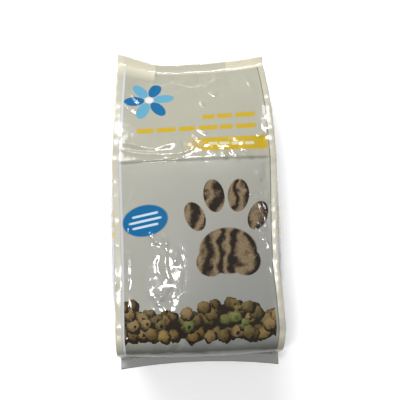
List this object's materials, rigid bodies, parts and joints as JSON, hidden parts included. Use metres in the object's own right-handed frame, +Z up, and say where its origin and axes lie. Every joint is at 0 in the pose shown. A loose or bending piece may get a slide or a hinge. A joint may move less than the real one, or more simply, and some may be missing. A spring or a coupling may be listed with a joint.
{
  "type": "pet food bag",
  "caption": "Filled and sealed side-gusset film bag of dry pet food, lying on its back, with seam fins along its four long edges and a flat seal at each end.",
  "frame": {"origin": "middle of the bag's box at the ground, under the back panel", "axes": "+Z up through the front panel, +Y along the bag towards its top seal, +X across it"},
  "size_m": [0.1652, 0.315, 0.0742],
  "materials": {
    "film": "gloss"
  },
  "bodies": {
    "root": {"bag": "film"}
  },
  "joints": []
}
